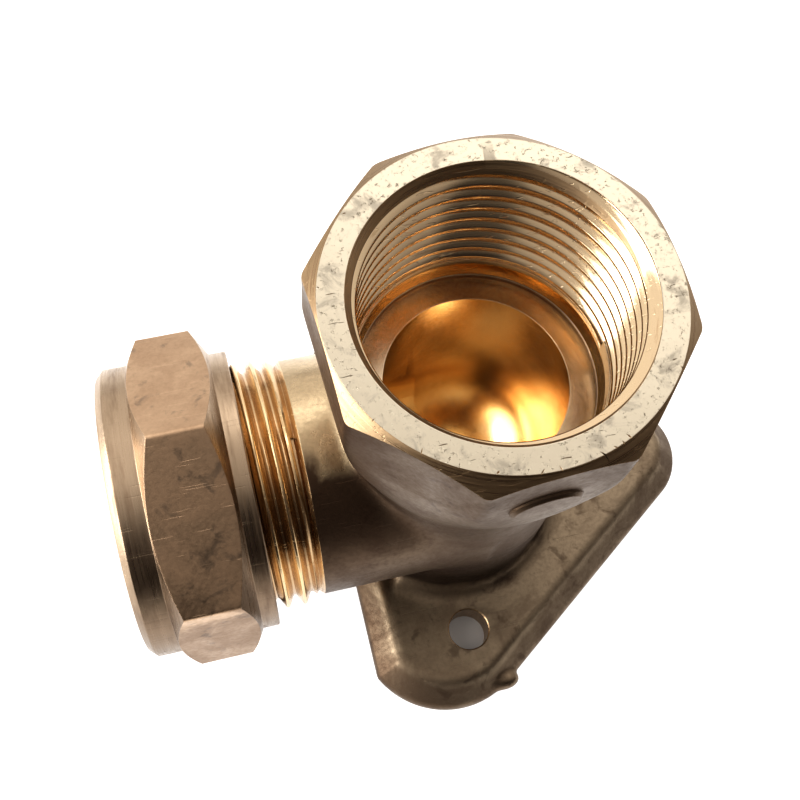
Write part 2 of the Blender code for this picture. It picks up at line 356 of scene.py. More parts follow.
def turned_metal(name, light, dark, about_outlet, seed, roughness=(0.16, 0.3), groove=0.006, tarnish=0.35,
                 root_darkening=None, oxide_and_shade=()):
    """Machined brass: fine rings about the axis, streaks of tarnish and thin scratches.

    The radii given for darkening the thread's roots are where the metal keeps its colour and where it is
    darkest.
    The darkening entries are as for forged_skin.
    """
    metal = Finish(name)
    radius, angle, along = metal.turned_place(about_outlet)
    ring_place = metal.joined(metal.math("MULTIPLY", radius, 5.0), angle, metal.math("MULTIPLY", along, 5.0))
    rings = metal.noise(1.3, detail=3.0, roughness=0.6, vector=ring_place)
    streak_place = metal.joined(metal.math("MULTIPLY", radius, 1.2),
                                metal.math("MULTIPLY", angle, 2.2), along)
    streaks = metal.noise(0.9 + 0.05 * seed, detail=4.0, roughness=0.6, vector=streak_place)
    stained = metal.between(streaks, 0.62 - 0.3 * tarnish, 0.78)
    colour = metal.mix(metal.math("MULTIPLY", stained, 0.85), light, dark)
    if root_darkening is not None:
        colour = metal.mix(metal.between(radius, *root_darkening, 0.0, 0.6), colour, dark)
    for axis, start, end, share in oxide_and_shade:
        colour = metal.mix(metal.ragged_ramp(axis, start, end, share), colour, OXIDE_AND_SHADE)
    scratched = metal.scratches(seed + 3, 0.30)
    rough = metal.math("ADD", metal.between(rings, 0.3, 0.7, roughness[0], roughness[1]),
                       metal.math("MULTIPLY", stained, 0.14))
    normal = metal.rounded_edges(0.1)
    normal = metal.bump(rings, groove, normal)
    normal = metal.bump(metal.math("MULTIPLY", scratched, -1.0), 0.008, normal)
    return metal.finish(colour, rough, normal)


def bore_metal(name, light, dark):
    """The smooth golden metal of a bored waterway, cloudy only at a large scale."""
    metal = Finish(name)
    cloud = metal.noise(0.22, detail=2.0, roughness=0.4)
    grain = metal.noise(3.0, detail=3.0, roughness=0.6)
    colour = metal.mix(metal.between(cloud, 0.35, 0.65), light, dark)
    colour = metal.mix(metal.between(grain, 0.55, 0.8, 0.0, 0.25), colour, dark)
    normal = metal.bump(grain, 0.002, metal.rounded_edges(0.12))
    return metal.finish(colour, metal.between(grain, 0.3, 0.7, 0.20, 0.27), normal)


def rim_metal(name):
    """The socket's faced rim: pale and bright, pitted, with grey stains and short nicks."""
    metal = Finish(name)
    radius, angle, _ = metal.turned_place(False)
    ring_place = metal.joined(metal.math("MULTIPLY", radius, 9.0), angle, 0.0)
    rings = metal.noise(1.0, detail=2.0, vector=ring_place)
    pits = metal.between(metal.noise(2.3, detail=6.0, roughness=0.8, distortion=0.3), 0.57, 0.66)
    cloud = metal.between(metal.noise(0.42, detail=5.0, roughness=0.65, distortion=0.6), 0.50, 0.68)
    nick_place = metal.stretched((0.0, 0.0, 38.0), (0.5, 3.4, 1.0))
    nicks = metal.between(metal.noise(0.8, detail=2.0, roughness=0.5, vector=nick_place), 0.71, 0.74)
    marks = metal.math("MAXIMUM", metal.math("MULTIPLY", pits, 0.6), nicks)
    colour = metal.mix(metal.math("MULTIPLY", cloud, 0.75), (0.62, 0.55, 0.43), (0.36, 0.32, 0.26))
    colour = metal.mix(marks, colour, (0.20, 0.15, 0.10))
    rough = metal.between(cloud, 0.0, 1.0, 0.30, 0.46)
    normal = metal.rounded_edges(0.12)
    normal = metal.bump(rings, 0.004, normal)
    normal = metal.bump(metal.noise(0.5, detail=3.0), 0.02, normal)
    normal = metal.bump(metal.math("MULTIPLY", marks, -1.0), 0.05, normal)
    return metal.finish(colour, rough, normal)


def glowing_floor_paint():
    paint = Finish("glowing_floor_paint")
    paint.shader.inputs["Metallic"].default_value = 0.0
    mottle = paint.noise(0.02, detail=3.0)
    colour = paint.mix(mottle, (0.54, 0.535, 0.53), (0.57, 0.565, 0.56))
    paint.shader.inputs["Emission Color"].default_value = (1.0, 1.0, 1.0, 1.0)
    # Painted light: the floor glows; over each screw hole the glow drops almost to nothing as a painted
    # shadow under the plate.
    lit = None
    for centre in SCREW_HOLES:
        away = paint.vector("LENGTH", paint.vector("SUBTRACT", paint.place, (*centre, 0.0)))
        outside_hole_shadow = paint.between(away, SCREW_HOLE_R + 0.5, SCREW_HOLE_R + 1.5, 0.04)
        lit = outside_hole_shadow if lit is None else paint.math("MINIMUM", lit, outside_hole_shadow)
    around = paint.vector("SUBTRACT", paint.place, FLOOR_GLOW_CENTRE)
    around = paint.vector("LENGTH", paint.vector("MULTIPLY", around, FLOOR_GLOW_SHAPE))
    lit = paint.math("MULTIPLY", lit, paint.between(around, *FLOOR_GLOW_REACH, FLOOR_GLOW, 0.0))
    paint.connect(paint.shader.inputs["Emission Strength"], lit)
    return paint.finish(colour, 0.7, paint.bump(paint.noise(0.8, detail=2.0), 0.004))


# ---------------------------------------------------------------- implicit forging

def smooth_min(first, second, width):
    overlap = np.clip(width - np.abs(first - second), 0.0, None) / width
    return np.minimum(first, second) - overlap * overlap * width / 4.0


def smooth_max(first, second, width):
    return -smooth_min(-first, -second, width)


def across_flat(x, y, number):
    """Distance beyond one of the octagon's flats, numbered round from the outlet's side."""
    angle = math.radians(OCTAGON_FIRST_FLAT_DEG + 45.0 * number)
    return x * math.cos(angle) + y * math.sin(angle) - OCTAGON_FLATS_R[number]


def barrel_field(x, y, rise):
    """The upright barrel: octagonal at the top, running out into a round below."""
    left = across_flat(x, y, 0)
    octagon = left
    for number in range(1, 8):
        octagon = smooth_max(octagon, across_flat(x, y, number), OCTAGON_EDGE)
    over = rise - CONE_START_RISE
    ramp = (over + np.sqrt(over * over + 6.0)) / 2.0
    cone = (np.hypot(x, y) - BARREL_R - CONE_SLOPE * ramp) * math.cos(math.atan(CONE_SLOPE))
    barrel = smooth_max(octagon, cone, 1.3)
    undercut = math.radians(LEFT_FLAT_UNDERCUT_DEG)
    below_edge = LEFT_FLAT_EDGE_RISE - rise
    return smooth_max(barrel, left * math.cos(undercut) + below_edge * math.sin(undercut), 0.25)


def plate_outline(x, y):
    """Signed distance to the plate's outline: three lobes joined by straight tangents."""
    field = PLATE_BACK_X - x
    for sign in (-1.0, 1.0):
        lobe_y = sign * SIDE_LOBE[1]
        run = np.array((FAR_LOBE[0] - SIDE_LOBE[0], -lobe_y))
        length = np.hypot(*run)
        lean = math.asin((SIDE_LOBE_R - FAR_LOBE_R) / length)
        heading = math.atan2(run[1], run[0]) + sign * (math.pi / 2.0 - lean)
        normal = (math.cos(heading), math.sin(heading))
        side = (x - SIDE_LOBE[0]) * normal[0] + (y - lobe_y) * normal[1] - SIDE_LOBE_R
        turn = math.atan2(normal[1], normal[0])
        lobe = np.hypot(x - SIDE_LOBE[0], y - lobe_y) - SIDE_LOBE_R
        bearing = sign * np.arctan2(y - lobe_y, x - SIDE_LOBE[0])
        on_lobe = bearing > sign * turn
        field = np.maximum(field, np.where(on_lobe, lobe, side))
    far = np.hypot(x - FAR_LOBE[0], y - FAR_LOBE[1]) - FAR_LOBE_R
    beyond = np.abs(np.arctan2(y, x - FAR_LOBE[0])) < abs(turn)
    return np.where(beyond & (x > FAR_LOBE[0]), far, field)


def plate_field(x, y, height):
    outline = plate_outline(x, y)
    bevel = (outline + height - PLATE_LAND) / math.sqrt(2.0)
    upper = smooth_max(bevel, height - PLATE_THICKNESS, 0.5)
    return smooth_max(outline, upper, 0.35)


def ellipsoid_field(x, y, z, centre, half_size):
    away = [(value - middle) / half for value, middle, half in zip((x, y, z), centre, half_size)]
    return (np.sqrt(sum(part * part for part in away)) - 1.0) * min(half_size)


def undulation(points):
    """The slight waviness of a hot-stamped skin, as a few long waves."""
    rng = np.random.default_rng(22)
    wave = np.zeros(points.shape[:-1])
    for _ in range(9):
        direction = rng.normal(size=3)
        direction /= np.linalg.norm(direction)
        length = rng.uniform(4.0, 11.0)
        phase = rng.uniform(0.0, 2.0 * math.pi)
        wave += np.sin(points @ direction * (2.0 * math.pi / length) + phase)
    return wave / 9.0


def forging_field(points):
    """Below zero inside the forged body, above zero outside it, about in millimetres."""
    x, y, height = points[..., 0], points[..., 1], points[..., 2]
    rise = height - AXIS_HEIGHT
    reach = -x
    barrel = smooth_max(barrel_field(x, y, rise), height - FACE_HEIGHT - 0.9, 0.2)
    barrel = np.maximum(barrel, 1.0 - height)
    neck = smooth_max(np.hypot(y, rise) - NECK_R, reach - NECK_END_REACH - 1.2, 0.3)
    neck = np.maximum(neck, -reach)
    body = smooth_min(barrel, neck, 1.3)
    stub = ellipsoid_field(x, y, height, GATE_STUB, GATE_STUB_SIZE)
    plate = smooth_min(plate_field(x, y, height), np.maximum(stub, 0.2 - height), 0.5)
    body = smooth_max(smooth_min(body, plate, 2.6), -height, 0.3)
    skin = np.clip((height - 0.5) / 1.5, 0.0, 1.0)
    return body + 0.035 * skin * undulation(points)


# The corners of a grid cell and the pairs of them that its edges join.
CELL_CORNERS = [(i, j, k) for i in (0, 1) for j in (0, 1) for k in (0, 1)]
CELL_EDGES = [(a, b) for a in range(8) for b in range(a + 1, 8)
              if sum(p != q for p, q in zip(CELL_CORNERS[a], CELL_CORNERS[b])) == 1]


def surface_net(field, low, high, step):
    """Points and quads of the surface where a field is zero: one point in each cell it crosses."""
    axes = [np.arange(low[axis], high[axis] + step, step) for axis in range(3)]
    grid = np.stack(np.meshgrid(*axes, indexing="ij"), axis=-1)
    values = np.empty(grid.shape[:3], np.float32)
    for layer in range(grid.shape[0]):
        values[layer] = field(grid[layer])
    shape = tuple(count - 1 for count in values.shape)
    corners = [values[i:i + shape[0], j:j + shape[1], k:k + shape[2]] for i, j, k in CELL_CORNERS]
    inside = sum((corner < 0.0).astype(np.int8) for corner in corners)
    cells = np.argwhere((inside > 0) & (inside < 8))
    number = np.full(shape, -1, np.int64)
    number[tuple(cells.T)] = np.arange(len(cells))
    total = np.zeros((len(cells), 3))
    crossings = np.zeros(len(cells))
    for a, b in CELL_EDGES:
        start = corners[a][tuple(cells.T)].astype(float)
        end = corners[b][tuple(cells.T)].astype(float)
        crossed = (start < 0.0) != (end < 0.0)
        share = np.where(crossed, start / np.where(crossed, start - end, 1.0), 0.0)[:, None]
        spot = np.array(CELL_CORNERS[a]) * (1.0 - share) + np.array(CELL_CORNERS[b]) * share
        total += np.where(crossed[:, None], spot, 0.0)
        crossings += crossed
    points = np.array([axis[0] for axis in axes]) + (cells + total / crossings[:, None]) * step
    quads = []
    for axis in range(3):
        u, v = (axis + 1) % 3, (axis + 2) % 3
        first = [slice(1, None)] * 3
        first[axis] = slice(None, -1)
        after = [slice(1, None)] * 3
        start = values[tuple(first)] < 0.0
        end = values[tuple(after)] < 0.0
        for outward in (True, False):
            changed = (start & ~end) if outward else (~start & end)
            spots = np.argwhere(changed)
            spots += 1
            spots[:, axis] -= 1
            spots = spots[(spots < np.array(shape)).all(axis=1)]
            around = []
            for du, dv in ((1, 1), (0, 1), (0, 0), (1, 0)):
                cell = spots.copy()
                cell[:, u] -= du
                cell[:, v] -= dv
                around.append(number[tuple(cell.T)])
            if not outward:
                around.reverse()
            quads.append(np.stack(around, axis=1))
    return points, np.concatenate(quads)


def settle(points, field, step, rounds=4):
    """Draw points onto the field's zero surface along its gradient."""
    probe = 0.02
    for _ in range(rounds):
        value = field(points)
        slope = np.stack([(field(points + offset) - value) / probe for offset in np.eye(3) * probe], axis=1)
        move = value[:, None] * slope / np.maximum((slope * slope).sum(axis=1), 0.05)[:, None]
        length = np.linalg.norm(move, axis=1)[:, None]
        points = points - move * np.minimum(1.0, 0.4 * step / np.maximum(length, 1e-9))
    return points


# ---------------------------------------------------------------- meshes

def add_mesh(name, points, faces, finishes, face_finish=None, place=None):
    mesh = bpy.data.meshes.new(name)
    mesh.from_pydata([tuple(point) for point in np.asarray(points) * MM], [], faces)
    for material in finishes:
        mesh.materials.append(material)
    if face_finish is not None:
        mesh.polygons.foreach_set("material_index", face_finish)
    if place is not None:
        mesh.transform(place)
    build = bmesh.new()
    build.from_mesh(mesh)
    bmesh.ops.recalc_face_normals(build, faces=build.faces)
    build.to_mesh(mesh)
    build.free()
    item = bpy.data.objects.new(name, mesh)
    bpy.context.scene.collection.objects.link(item)
    return item


def filleted(profile, steps=5):
    """(radius, along, finish) points of a turned outline from (radius, along, fillet, finish)."""
    outline = []
    for index, (radius, along, fillet, finish) in enumerate(profile):
        here = Vector((radius, along))
        if fillet <= 0.0:
            outline.append((radius, along, finish))
            continue
        before = Vector(profile[index - 1][:2]) - here
        after = Vector(profile[(index + 1) % len(profile)][:2]) - here
        half = before.angle(after) / 2.0
        cut = min(fillet / math.tan(half), before.length * 0.45, after.length * 0.45)
        start = here + before.normalized() * cut
        end = here + after.normalized() * cut
        for step in range(steps + 1):
            share = step / steps
            spot = start * (1.0 - share) ** 2 + here * 2.0 * share * (1.0 - share) + end * share ** 2
            outline.append((spot.x, spot.y, profile[index - 1][3] if step < steps else finish))
    return outline


def turned(name, profile, place, segments=TURN_SEGMENTS):
    """A solid of revolution; each point's finish is that of the face from it to the next point."""
    outline = filleted(profile)
    finishes = list(dict.fromkeys(point[2] for point in outline))
    points, starts = [], []
    for radius, along, _ in outline:
        starts.append(len(points))
        count = segments if radius > 1e-6 else 1
        for step in range(count):
            angle = 2.0 * math.pi * step / segments
            points.append((radius * math.cos(angle), radius * math.sin(angle), along))
    faces, marks = [], []
    closed = outline[0][0] > 1e-6
    last = len(outline) if closed else len(outline) - 1
    for index in range(last):
        after = (index + 1) % len(outline)
        lone, lone_after = outline[index][0] <= 1e-6, outline[after][0] <= 1e-6
        for step in range(segments):
            ahead = (step + 1) % segments
            a, b = starts[index] + step, starts[index] + ahead
            c, d = starts[after] + ahead, starts[after] + step
            if lone:
                faces.append((starts[index], c, d))
            elif lone_after:
                faces.append((a, b, starts[after]))
            else:
                faces.append((a, b, c, d))
            marks.append(finishes.index(outline[index][2]))
    return add_mesh(name, points, faces, finishes, marks, place)


def thread_form(phase):
    """Whitworth-like thread form: 1 at the crest (phase 0), -1 at the root, both rounded."""
    wave = (np.abs(2.0 * (phase % 1.0) - 1.0) * 2.0 - 1.0) * THREAD_SHARPNESS
    top = np.ones_like(wave)
    return smooth_max(smooth_min(wave, top, THREAD_ROUNDING), -top, THREAD_ROUNDING)


def threaded(name, radius_at, start, end, crest, finish, place):
    """A solid whose side is cut by a right-hand helix; its grid lines follow the helix.

    radius_at(form, along) gives the radius from the thread form and the place along the axis, and
    crest is where along the axis a crest passes the frame's X direction.
    """
    first = crest + math.ceil((start - crest) / PITCH) * PITCH
    rows = int((end - first) / PITCH) * THREAD_ROWS
    row, segment = np.meshgrid(np.arange(rows + 1), np.arange(THREAD_SEGMENTS), indexing="ij")
    phase = row // THREAD_ROWS + np.array(THREAD_PHASES)[row % THREAD_ROWS]
    along = first + (phase + segment / THREAD_SEGMENTS) * PITCH
    form = thread_form(phase)
    radius = radius_at(form, along)
    angle = 2.0 * math.pi * segment / THREAD_SEGMENTS
    points = np.stack((radius * np.cos(angle), radius * np.sin(angle), along), axis=-1).reshape(-1, 3)

    def vertex(r, s):
        return r * THREAD_SEGMENTS + s

    last = THREAD_SEGMENTS - 1
    faces = []
    for r in range(rows):
        for s in range(last):
            faces.append((vertex(r, s), vertex(r, s + 1), vertex(r + 1, s + 1), vertex(r + 1, s)))
        if r + 1 + THREAD_ROWS <= rows:
            faces.append((vertex(r, last), vertex(r + THREAD_ROWS, 0),
                          vertex(r + 1 + THREAD_ROWS, 0), vertex(r + 1, last)))
    lower = [vertex(0, s) for s in range(THREAD_SEGMENTS)]
    lower += [vertex(r, 0) for r in range(THREAD_ROWS, 0, -1)]
    upper = [vertex(rows, s) for s in range(THREAD_SEGMENTS)]
    upper += [vertex(r, last) for r in range(rows - 1, rows - THREAD_ROWS - 1, -1)]
    ends = [(0.0, 0.0, first + PITCH / 2.0), (0.0, 0.0, along.max() - PITCH / 2.0)]
    for loop, middle in ((lower, len(points)), (upper, len(points) + 1)):
        for here, ahead in zip(loop, loop[1:] + loop[:1]):
            faces.append((here, ahead, middle))
    return add_mesh(name, np.concatenate((points, ends)), faces, [finish], None, place)


def hexagon(name, flat_radius, corner_radius, start, end, first_corner_deg, finish, place):
    """A hexagonal prism along the outlet, with rounded corners."""
    outline = []
    steps = 6
    centre_radius = (flat_radius - corner_radius) / math.cos(math.pi / 6.0)
    for corner in range(6):
        heading = math.radians(first_corner_deg + 60.0 * corner)
        for step in range(steps + 1):
            turn = heading + math.pi / 6.0 * (2.0 * step / steps - 1.0)
            outline.append((centre_radius * math.cos(heading) + corner_radius * math.cos(turn),
                            centre_radius * math.sin(heading) + corner_radius * math.sin(turn)))
    count = len(outline)
    points = [(x, y, start) for x, y in outline] + [(x, y, end) for x, y in outline]
    faces = [(i, (i + 1) % count, count + (i + 1) % count, count + i) for i in range(count)]
    faces += [tuple(reversed(range(count))), tuple(range(count, 2 * count))]
    return add_mesh(name, points, faces, [finish], None, place)


def combine(item, others, operation):
    """Cut by, join with or keep what is common with each of the others, which are used up."""
    for other in others:
        step = item.modifiers.new(other.name, "BOOLEAN")
        step.operation = operation
        step.solver = "MANIFOLD"
        step.material_mode = "TRANSFER"
        step.object = other
        scene_state = bpy.context.evaluated_depsgraph_get()
        made = bpy.data.meshes.new_from_object(item.evaluated_get(scene_state), depsgraph=scene_state)
        item.modifiers.clear()
        item.data = made
        bpy.data.objects.remove(other, do_unlink=True)
    return item


def smooth(item):
    item.data.shade_smooth()
    item.data.set_sharp_from_angle(angle=math.radians(SHARP_DEG))
    return item


# ---------------------------------------------------------------- finishes

# The skin darkens by height: strongly from 3.8 up to 7 mm, more from 43 down to 34 mm, more from 45 up to 51
# mm, and below 3.7 mm on the plate's edge.
FORGED = forged_skin("forged_skin", (0.45, 0.36, 0.25), (0.30, 0.23, 0.158), (0.11, 0.08, 0.055), 1,
                     oxide_and_shade=((Z, 3.8, 7.0, 0.72), (Z, 43.0, 34.0, 0.25),
                            (Z, 45.0, 51.0, 0.3), (Z, 3.7, 3.0, 0.5)),
                     clean_reach=(10.8, 12.6), clean_lit_colour=(0.60, 0.46, 0.29))
RIM = rim_metal("rim_metal")
CHAMFER = turned_metal("chamfer_metal", (0.42, 0.29, 0.17), (0.20, 0.13, 0.08), False, 2, (0.24, 0.42))
THREAD = turned_metal("thread_metal", (0.78, 0.60, 0.39), (0.52, 0.35, 0.20), False, 4,
                      (0.09, 0.18), 0.0015, 0.25)
BAND = turned_metal("band_metal", (0.56, 0.39, 0.21), (0.36, 0.23, 0.11), False, 5,
                    (0.12, 0.2), 0.002, 0.3)
# Painted shade: the groove at the foot of the bore's band is coloured near-black brass, the dark of a deep
# recess.
SHADED_GROOVE = turned_metal("shaded_groove_metal", (0.16, 0.09, 0.05), (0.08, 0.05, 0.03), False, 6,
                      (0.3, 0.45), 0.002, 0.5)
SHOULDER = bore_metal("shoulder_metal", (0.80, 0.63, 0.44), (0.66, 0.49, 0.31))
WATERWAY = bore_metal("waterway_metal", (0.86, 0.64, 0.36), (0.76, 0.53, 0.27))
OUTLET = turned_metal("outlet_metal", (0.84, 0.62, 0.36), (0.36, 0.21, 0.11), True, 8, (0.12, 0.26),
                      root_darkening=(THREAD_MAJOR_R - 0.15, THREAD_MINOR_R + 0.25))
# Painted shade: the nut's flat on its -Y side is darkened towards the dark colour.
NUT_SKIN = forged_skin("nut_skin", (0.62, 0.43, 0.28), (0.50, 0.34, 0.22), (0.17, 0.13, 0.10), 2,
                       (0.30, 0.46), oxide_and_shade=((Y, -14.5, -15.1, 0.4),))
# Painted shade: the -Y side of the nut's turned collar and ring is darkened.
NUT_TURNED = turned_metal("nut_turned", (0.44, 0.33, 0.23), (0.26, 0.18, 0.12), True, 9,
                          (0.24, 0.36), 0.002, 0.6, oxide_and_shade=((Y, -7.0, -14.0, 0.5),))
OLIVE_METAL = turned_metal("olive_metal", (0.86, 0.66, 0.34), (0.60, 0.42, 0.2), True, 10, (0.18, 0.3))


# ---------------------------------------------------------------- body

def male_radius(form, along):
    radius = THREAD_MIDDLE_R + THREAD_HALF_DEPTH * form
    lead_in = THREAD_MAJOR_R - np.clip(along - (MOUTH_REACH - 1.1), 0.0, None)
    run_out = THREAD_MINOR_R - 0.1 + np.clip(along - NECK_END_REACH - 0.25, 0.0, None) * 0.9
    return np.minimum(np.minimum(radius, lead_in), run_out)


def female_radius(form, along):
    depth = np.clip((along - BAND_TOP_RISE + 0.8) / (1.2 * PITCH), 0.0, 1.0)
    core = THREAD_MINOR_R - 0.15 * (depth <= 0.0)
    return core + (THREAD_MIDDLE_R - THREAD_HALF_DEPTH * form - THREAD_MINOR_R) * depth


def socket_cutter():
    """Facing, rim chamfer, mouth chamfer, core, shoulder and the round-bottomed waterway."""
    over = 8.0
    outside = FACE_CHAMFER_R + over
    profile = [
        (0.0, FACE_RISE + over, 0.0, RIM),
        (outside, FACE_RISE + over, 0.0, RIM),
        (outside, FACE_RISE - over * FACE_CHAMFER_SLOPE, 0.0, CHAMFER),
        (FACE_CHAMFER_R, FACE_RISE, 0.0, RIM),
        (MOUTH_CHAMFER_R, FACE_RISE, 0.0, CHAMFER),
        (THREAD_MINOR_R - 0.2, FACE_RISE - MOUTH_CHAMFER_R + THREAD_MINOR_R - 0.2, 0.0, THREAD),
        (THREAD_MINOR_R - 0.2, BAND_TOP_RISE + 0.3, 0.0, BAND),
        (THREAD_MINOR_R + 0.05, BAND_TOP_RISE, 0.0, BAND),
        (THREAD_MINOR_R + 0.05, BAND_END_RISE + 1.2, 0.2, BAND),
        (SHOULDER_R + 0.05, BAND_END_RISE, 0.0, SHADED_GROOVE),
        (SHOULDER_R + 0.15, SHOULDER_RISE, 0.0, SHOULDER),
        (WATERWAY_R, SHOULDER_RISE, 0.0, WATERWAY),
        (WATERWAY_R, 0.0, 0.0, WATERWAY),
    ]
    bowl_steps = 12
    for step in range(1, bowl_steps):
        angle = math.pi / 2.0 * step / bowl_steps
        profile.append((WATERWAY_R * math.cos(angle), -WATERWAY_R * math.sin(angle), 0.0, WATERWAY))
    profile.append((0.0, -WATERWAY_R, 0.0, WATERWAY))
    return turned("socket_cutter", profile, SOCKET_PLACE)


def outlet_cutter():
    over = 6.0
    profile = [
        (0.0, MOUTH_REACH + over, 0.0, OUTLET),
        (THREAD_MAJOR_R + over, MOUTH_REACH + over, 0.0, OUTLET),
        (THREAD_MAJOR_R + over, MOUTH_REACH, 0.0, OUTLET),
        (TUBE_SOCKET_R + 0.75, MOUTH_REACH, 0.0, OUTLET),
        (TUBE_SOCKET_R, MOUTH_REACH - 1.1, 0.0, OUTLET),
        (TUBE_SOCKET_R, TUBE_STOP_REACH, 0.0, OUTLET),
        (CROSS_BORE_R, TUBE_STOP_REACH, 0.0, WATERWAY),
        (CROSS_BORE_R, 0.0, 0.0, WATERWAY),
        (0.0, 0.0, 0.0, WATERWAY),
    ]
    return turned("outlet_cutter", profile, OUTLET_PLACE)


def neck_end_cutter():
    """Turns the neck's end down to the thread's root with a bevelled shoulder."""
    outside = NECK_R + 3.0
    drop = NECK_R - THREAD_MINOR_R
    return turned("neck_end_cutter", [
        (outside, NECK_END_REACH - 3.0, 0.0, OUTLET),
        (THREAD_MINOR_R, NECK_END_REACH + drop, 0.0, OUTLET),
        (THREAD_MINOR_R, NECK_END_REACH + 4.0, 0.0, OUTLET),
        (outside, NECK_END_REACH + 4.0, 0.0, OUTLET),
    ], OUTLET_PLACE)


def oval_pad():
    place = SOCKET_PLACE @ Matrix.Rotation(math.radians(OCTAGON_FIRST_FLAT_DEG + 45.0 * PAD_FLAT), 4, "Z")
    place = place @ Matrix.Translation(Vector((OCTAGON_FLATS_R[PAD_FLAT], *PAD_PLACE)) * MM)
    place = place @ Matrix.Rotation(math.pi / 2.0, 4, "Y")
    place = place @ Matrix.Diagonal((PAD_HALF_SIZE[1], PAD_HALF_SIZE[0], 1.0, 1.0))
    return turned("oval_pad", [
        (0.0, PAD_PROUD, 0.0, FORGED),
        (0.9, PAD_PROUD, 0.05, FORGED),
        (1.0, PAD_PROUD - 0.3, 0.0, FORGED),
        (1.0, -1.5, 0.0, FORGED),
        (0.0, -1.5, 0.0, FORGED),
    ], place, 96)


def rim_nicks():
    """Thin wedges that cut short dents into the rim's outer edge, most of them on the -Y side."""
    rng = np.random.default_rng(7)
    points, faces = [], []
    for _ in range(NICK_COUNT):
        angle = math.radians(rng.normal(-80.0, 75.0))
        turn = angle + rng.uniform(-0.9, 0.9)
        half_length = rng.uniform(0.15, 0.4)
        half_width = rng.uniform(0.04, 0.08)
        depth = NICK_DEPTH * rng.uniform(0.4, 1.0)
        middle = np.array((math.cos(angle), math.sin(angle))) * (FACE_CHAMFER_R + rng.uniform(-0.3, 0.3))
        along = np.array((math.cos(turn), math.sin(turn)))
        across = np.array((-along[1], along[0]))
        start = len(points)
        corners = ((-1.0, 0.0), (0.0, -1.0), (1.0, 0.0), (0.0, 1.0))
        for x, y in corners:
            spot = middle + along * x * half_length + across * y * half_width
            points.append((*spot, FACE_RISE))
        for x, y in corners:
            spot = middle + (along * x * half_length + across * y * half_width) * 2.0
            points.append((*spot, FACE_RISE + depth * 1.5))
        points.append((*middle, FACE_RISE - depth))
        for corner in range(4):
            ahead = (corner + 1) % 4
            faces.append((start + corner, start + 8, start + ahead))
            faces.append((start + corner, start + ahead, start + 4 + ahead, start + 4 + corner))
        faces.append(tuple(start + 4 + corner for corner in range(4)))
    return add_mesh("rim_nicks", points, faces, [CHAMFER], None, SOCKET_PLACE)


def screw_hole_cutter(index, centre):
    edge = 0.12
    profile = [
        (0.0, PLATE_THICKNESS + 2.0, 0.0, CHAMFER),
        (SCREW_HOLE_R + edge + 2.0, PLATE_THICKNESS + 2.0, 0.0, CHAMFER),
        (SCREW_HOLE_R, PLATE_THICKNESS - edge, 0.0, CHAMFER),
        (SCREW_HOLE_R, -1.0, 0.0, CHAMFER),
        (0.0, -1.0, 0.0, CHAMFER),
    ]
    place = Matrix.Translation((centre[0] * MM, centre[1] * MM, 0.0))
    return turned(f"screw_hole_cutter_{index}", profile, place, 64)


def make_body():
    low = np.array((-NECK_END_REACH - 2.5, -PLATE_EDGE_Y - 1.5, -1.0))
    high = np.array((PLATE_TIP_X + 1.0, PLATE_EDGE_Y + 1.0, FACE_HEIGHT + 2.0))
    points, quads = surface_net(forging_field, low, high, GRID_STEP)
    points = settle(points, forging_field, GRID_STEP)
    body = add_mesh("elbow_body", points, quads.tolist(), [FORGED])
    male = threaded("male_thread", male_radius, NECK_END_REACH - 2.6, MOUTH_REACH + 3.6,
                    MALE_PHASE_REACH, OUTLET, OUTLET_PLACE)
    combine(body, [neck_end_cutter()], "DIFFERENCE")
    combine(body, [male, oval_pad()], "UNION")
    crest = FACE_RISE - FEMALE_CREST_DEPTH + PITCH * 0.5
    female = threaded("female_thread", female_radius, SHOULDER_RISE + 0.8, FACE_RISE + 3.6,
                      crest, THREAD, SOCKET_PLACE)
    cutters = [socket_cutter(), female, outlet_cutter()]
    cutters += [screw_hole_cutter(index, centre) for index, centre in enumerate(SCREW_HOLES)]
    cutters.append(rim_nicks())
    combine(body, cutters, "DIFFERENCE")
    return smooth(body)


# ---------------------------------------------------------------- nut and olive

def nut_thread_radius(form, along):
    flare = np.clip(NUT_INNER_REACH + 1.0 - along, 0.0, 1.1)
    inner = THREAD_MIDDLE_R + THREAD_HALF_DEPTH * form + NUT_THREAD_GAP
    return np.maximum(inner, THREAD_MINOR_R + NUT_THREAD_GAP + flare)


